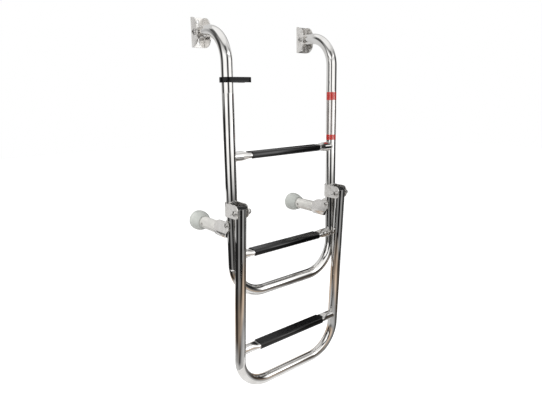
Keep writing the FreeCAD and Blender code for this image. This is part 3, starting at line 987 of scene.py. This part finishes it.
sandy = [
    (-180, 0.64), (-112, 0.62), (-96, 0.4), (-84, 0.05), (-58, 0.03), (-44, 0.25), (0, 0.4),
    (20, 0.65), (50, 0.8), (60, 0.72), (70, 0.35), (82, 0.06), (150, 0.08), (165, 0.4),
    (180, 0.64)]
legs = [
    (-180, 0.5), (-120, 0.45), (-104, 0.3), (-94, 0.02), (-60, 0.02), (-50, 0.14), (-34, 0.3),
    (-24, 0.22), (-12, 0.04), (8, 0.06), (20, 0.45), (50, 0.6), (58, 0.4), (66, 0.06),
    (84, 0.12), (110, 0.06), (150, 0.12), (165, 0.4), (180, 0.5)]
stripes = [
    (-180, 0.64), (-98, 0.64), (-93, 0.02), (-58, 0.0), (-50, 0.12), (-38, 0.26), (-20, 0.26),
    (-9, 0.02), (0, 0.0), (22, 0.0), (32, 0.26), (42, 0.36), (62, 0.36), (74, 0.16), (82, 0.0),
    (102, 0.0), (110, 0.2), (128, 0.2), (136, 0.03), (150, 0.06), (165, 0.3), (180, 0.5)]
hinges = [
    (-180, 0.68), (-97, 0.68), (-92, 0.04), (-62, 0.03), (-52, 0.22), (-22, 0.26), (-12, 0.02),
    (20, 0.02), (30, 0.12), (60, 0.22), (80, 0.1), (90, 0.02), (140, 0.06), (160, 0.2),
    (180, 0.5)]
boxFoot = [
    (-180, 0.5), (-170, 0.68), (-110, 0.66), (-100, 0.3), (-96, 0.03), (-64, 0.03), (-54, 0.9),
    (-24, 1.05), (-15, 0.06), (-8, 0.01), (17, 0.02), (27, 0.9), (64, 1.05), (76, 0.12),
    (86, 0.02), (112, 0.04), (135, 0.25), (148, 0.2), (156, 0.02), (177, 0.02), (180, 0.2)]
# boxes, boxTop and tall rise to 2.5 between 65 and 77 degrees: a painted highlight strip for the
# tread covers' front edges
boxes = [
    (-180, 0.2), (-176, 0.7), (-116, 0.66), (-104, 0.3), (-98, 0.03), (-66, 0.03), (-57, 1.25),
    (-20, 1.25), (-12, 0.06), (-7, 0.01), (13, 0.01), (21, 1.25), (60, 1.25), (65, 2.5),
    (74, 2.5), (77, 0.8), (82, 0.08), (88, 0.02), (114, 0.02), (128, 0.3), (146, 0.25),
    (155, 0.02), (177, 0.02), (180, 0.2)]
boxTop = [
    (-180, 0.3), (-176, 0.8), (-122, 0.65), (-112, 0.3), (-102, 0.03), (-62, 0.03), (-53, 1.25),
    (-16, 1.25), (-8, 0.08), (8, 0.02), (20, 0.02), (29, 1.2), (60, 1.25), (65, 2.5), (75, 2.5),
    (78, 1.1), (88, 0.25), (98, 0.03), (132, 0.04), (146, 0.25), (155, 0.02), (177, 0.02),
    (180, 0.3)]
tall = [
    (-180, 0.15), (-176, 0.35), (-166, 0.72), (-104, 0.72), (-99, 0.06), (-82, 0.06),
    (-79, 0.3), (-66, 0.3), (-57, 1.25), (0, 1.25), (5, 0.04), (22, 0.04), (27, 1.25),
    (62, 1.25), (66, 2.5), (77, 2.5), (80, 1.25), (91, 1.25), (95, 0.05), (112, 0.05),
    (118, 0.5), (135, 0.8), (148, 0.5), (157, 0.02), (176, 0.02), (180, 0.15)]
upper = [
    (-180, 0.68), (-108, 0.68), (-101, 0.09), (-78, 0.1), (-68, 0.26), (-50, 0.5), (-12, 0.5),
    (-4, 0.06), (25, 0.06), (34, 0.35), (44, 0.75), (70, 0.7), (84, 0.42), (100, 0.42),
    (112, 0.8), (160, 0.85), (180, 0.68)]
high = [
    (-180, 0.7), (-106, 0.7), (-98, 0.1), (-78, 0.14), (-64, 0.3), (-12, 0.3), (-6, 0.12),
    (26, 0.1), (38, 0.4), (50, 0.8), (80, 0.6), (110, 0.8), (180, 0.7)]
ceiling = [
    (-180, 0.75), (-100, 0.6), (-90, 0.3), (-75, 0.4), (-55, 0.7), (-10, 0.8), (180, 0.75)]
bends = [
    (-180, 0.7), (-100, 0.68), (-93, 0.3), (-87, 0.05), (-64, 0.04), (-57, 0.9), (-50, 1.25),
    (-18, 1.25), (-10, 0.5), (-3, 0.03), (14, 0.03), (22, 0.9), (28, 1.25), (84, 1.25),
    (92, 0.5), (102, 0.06), (126, 0.05), (140, 0.4), (160, 0.7), (180, 0.7)]
collarTop = [
    (-180, 0.6), (-100, 0.6), (-88, 0.3), (-80, 0.1), (-64, 0.1), (-52, 0.6), (-20, 0.65),
    (-5, 0.3), (15, 0.3), (30, 0.6), (55, 0.85), (80, 0.45), (95, 0.3), (115, 0.45), (140, 0.8),
    (180, 0.7)]
dusk = [(-180, 0.4), (180, 0.4)]
# nearly black, seen only by gloss: a painted dark reflection
paintedDarkReflection = [(-180, 0.02), (180, 0.02)]
plain, warm = "#FFFFFF", "#FFE6CE"
# Each row of a sleeve is a height, a tint and its brightness; the two screens are near-black strips
# that paint a dark reflection along the tubes' left sides
sleeves = {
    "lowSleeve": {"reach": 0.42, "rows": (
        (-1.12, plain, underBow), (-1.04, plain, underBow), (-0.94, plain, nearFloor),
        (-0.85, warm, sandy), (-0.76, warm, legs), (-0.68, plain, stripes))},
    "hullSideDarkReflection": {"reach": 0.42, "arc": (-114, -70), "rows": (
        (-0.40, plain, paintedDarkReflection), (-0.20, plain, paintedDarkReflection), (-0.13, plain, dusk))},
    "legDarkReflection": {"reach": 0.42, "arc": (-114, -70), "rows": (
        (-0.68, plain, paintedDarkReflection), (-0.55, plain, paintedDarkReflection))},
    "collar": {"reach": 0.42, "rows": (
        (-0.13, plain, bends), (0.04, plain, bends), (0.13, plain, collarTop))},
    "farSleeve": {"reach": 1.5, "rows": (
        (-1.26, plain, stripes), (-0.86, plain, stripes), (-0.72, plain, hinges),
        (-0.56, plain, boxFoot), (-0.40, plain, boxes), (-0.20, plain, boxTop),
        (0.0, plain, tall), (0.70, plain, tall), (1.00, plain, upper), (1.25, plain, high),
        (1.50, plain, high), (1.80, plain, ceiling), (2.1, plain, ceiling))},
}


def brightnessAt(stops, angle):
    for (before, first), (after, second) in zip(stops, stops[1:]):
        if angle <= after:
            return first + (second - first) * (angle - before) / (after - before)
    return stops[-1][1]


def makeSleeve(name, s, room):
    # a wall of painted columns round the ladder, whole or over an arc
    middle = Vector(room["middle"])
    start, end = s.get("arc", (-180, 180))
    columns = round((end - start) / room["columnDegrees"])
    points, colours, faces = [], [], []
    for z, tint, stops in s["rows"]:
        for i in range(columns + 1):
            angle = start + (end - start) * i / columns
            out = directionOf(cameraSettings["azimuth"] + angle, 0)
            points.append((middle.x + out.x * s["reach"], middle.y + out.y * s["reach"], z))
            colours.append([c * brightnessAt(stops, angle) for c in linear(tint)[:3]] + [1.0])
    for row in range(len(s["rows"]) - 1):
        for i in range(columns):
            first = row * (columns + 1) + i
            faces.append((first, first + 1, first + columns + 2, first + columns + 1))
    mesh = bpy.data.meshes.new(name)
    mesh.from_pydata(points, [], faces)
    painted = mesh.color_attributes.new("painted", "FLOAT_COLOR", "POINT")
    for entry, colour in zip(painted.data, colours):
        entry.color = colour
    # the sleeve glows with its painted colours and only gloss sees it, so it paints the reflections
    # and highlights on the steel and plastic
    material, tree, shader = newMaterial(name + "Cloth", {
        "Base Color": grey(0.0), "Roughness": 1.0, "Specular IOR Level": 0.0,
        "Emission Strength": 1.0})
    paint = addNode(tree, "ShaderNodeVertexColor", {"layer_name": "painted"})
    tree.links.new(paint.outputs["Color"], shader.inputs["Emission Color"])
    mesh.materials.append(material)
    sleeve = addObject(name, mesh)
    sleeve.visible_camera = False
    sleeve.visible_diffuse = False
    sleeve.visible_shadow = False
    sleeve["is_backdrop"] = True


lamps = {                                   # angles are round from the camera
    "boxLeft": {"azimuth": -48, "elevation": 2, "reach": 1.75, "width": 1.4, "height": 1.15,
                "watts": 17},
    "boxRight": {"azimuth": 43, "elevation": 2, "reach": 1.75, "width": 1.4, "height": 1.15,
                 "watts": 17},
    "sideLeft": {"azimuth": -105, "elevation": 38, "reach": 1.7, "width": 1.3, "height": 0.9,
                 "watts": 14},
    "top": {"azimuth": 0, "elevation": 80, "reach": 1.6, "width": 1.3, "height": 1.3,
            "watts": 7},
}


def makeLamp(name, s, room):
    data = bpy.data.lights.new(name, "AREA")
    data.shape = "RECTANGLE"
    data.size = s["width"]
    data.size_y = s["height"]
    data.energy = s["watts"]
    lamp = addObject(name, data)
    out = directionOf(cameraSettings["azimuth"] + s["azimuth"], s["elevation"])
    lamp.location = Vector(room["middle"]) + out * s["reach"]
    lamp.rotation_mode = "QUATERNION"
    lamp.rotation_quaternion = (-out).to_track_quat("-Z", "Y")
    lamp.visible_glossy = False             # the sleeves stand in for it in the steel


makeWorld(studio)
makeFloor(studio)
for name, settings in sleeves.items():
    makeSleeve(name, settings, studio)
for name, settings in lamps.items():
    makeLamp(name, settings, studio)
print("studio made")


sizes = {"cad": cadBox, "visual": [list(corner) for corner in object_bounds()]}
